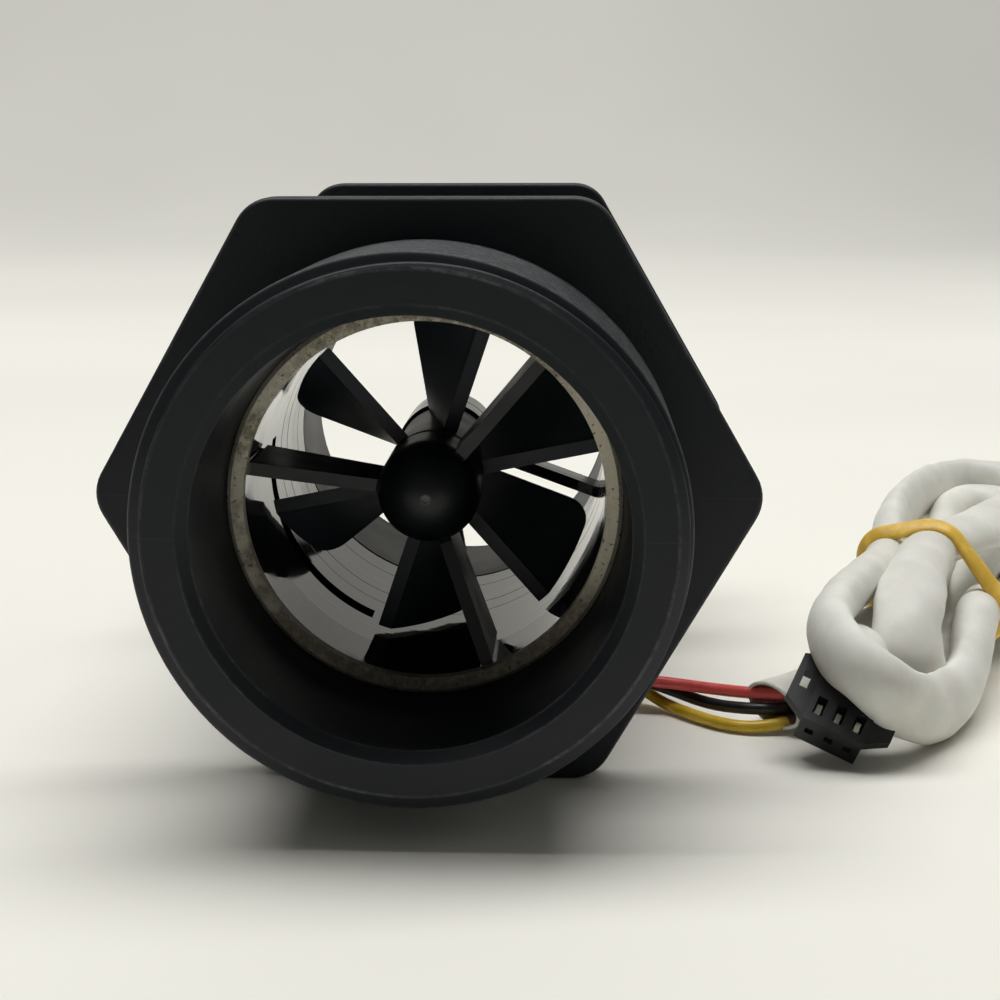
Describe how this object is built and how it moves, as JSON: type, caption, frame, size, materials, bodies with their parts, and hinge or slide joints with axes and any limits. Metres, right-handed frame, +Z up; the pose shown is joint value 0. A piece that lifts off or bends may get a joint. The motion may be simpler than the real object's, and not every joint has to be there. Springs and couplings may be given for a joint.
{
  "type": "turbine flow meter",
  "caption": "Pipe-threaded turbine flow meter: hexagon-flanged barrel with a bladed rotor between two spiders, a pick-up housing and a tied cable with a plug.",
  "frame": {"origin": "middle of the body's box, on the flow axis", "axes": "+Y along the flow from inlet to outlet, +Z up, base flats down"},
  "size_m": [0.1377, 0.1319, 0.069],
  "materials": {
    "body": "fine-grained moulded glass-filled nylon, very dark blue-black",
    "ring": "dull, stained, speckled metal",
    "spider": "glossy moulding",
    "bore": "glossy moulding",
    "seal": "black nitrile",
    "bush": "natural acetal",
    "rotor": "smooth moulding",
    "steel": "ground stainless steel",
    "magnet": "dark ferrite",
    "board": "green solder mask",
    "chip": "black epoxy",
    "capacitor": "ceramic",
    "wire_black": "wire insulation",
    "wire_red": "wire insulation",
    "wire_yellow": "wire insulation",
    "sleeve": "off-white heat-shrink sleeve",
    "band": "yellow rubber",
    "connector": "black nylon",
    "contacts": "tinned metal"
  },
  "bodies": {
    "meter": {"meter_body": "body", "retaining_ring": "ring", "inlet_spider": "spider", "rotor_tube": "bore", "spacer_tube": "bore", "outlet_spider": "spider", "seal_ring": "seal", "inlet_bush": "bush", "outlet_bush": "bush", "sensor_cover": "body", "cover_gasket": "seal", "cover_screws": "steel", "circuit_board": "board", "board_screws": "steel", "hall_chip": "chip", "board_capacitor": "capacitor", "board_resistor": "chip", "cable_grommet": "seal", "board_leads": "wire_black", "red_wire": "wire_red", "black_wire": "wire_black", "yellow_wire": "wire_yellow", "cable_lead": "sleeve", "cable_hank": "sleeve", "rubber_band": "band", "connector_housing": "connector", "connector_contacts": "contacts", "connector_wire_red": "wire_red", "connector_wire_black": "wire_black", "connector_wire_yellow": "wire_yellow"},
    "rotor": {"rotor": "rotor", "rotor_shaft": "steel", "rotor_magnet": "magnet", "magnet_cap": "rotor", "thrust_washers": "bush"}
  },
  "joints": [
    {"name": "rotor_spin", "type": "hinge", "parent": "meter", "child": "rotor", "pos_m": [0, -0.0115, 0], "axis": [0, 1, 0], "continuous": true}
  ]
}
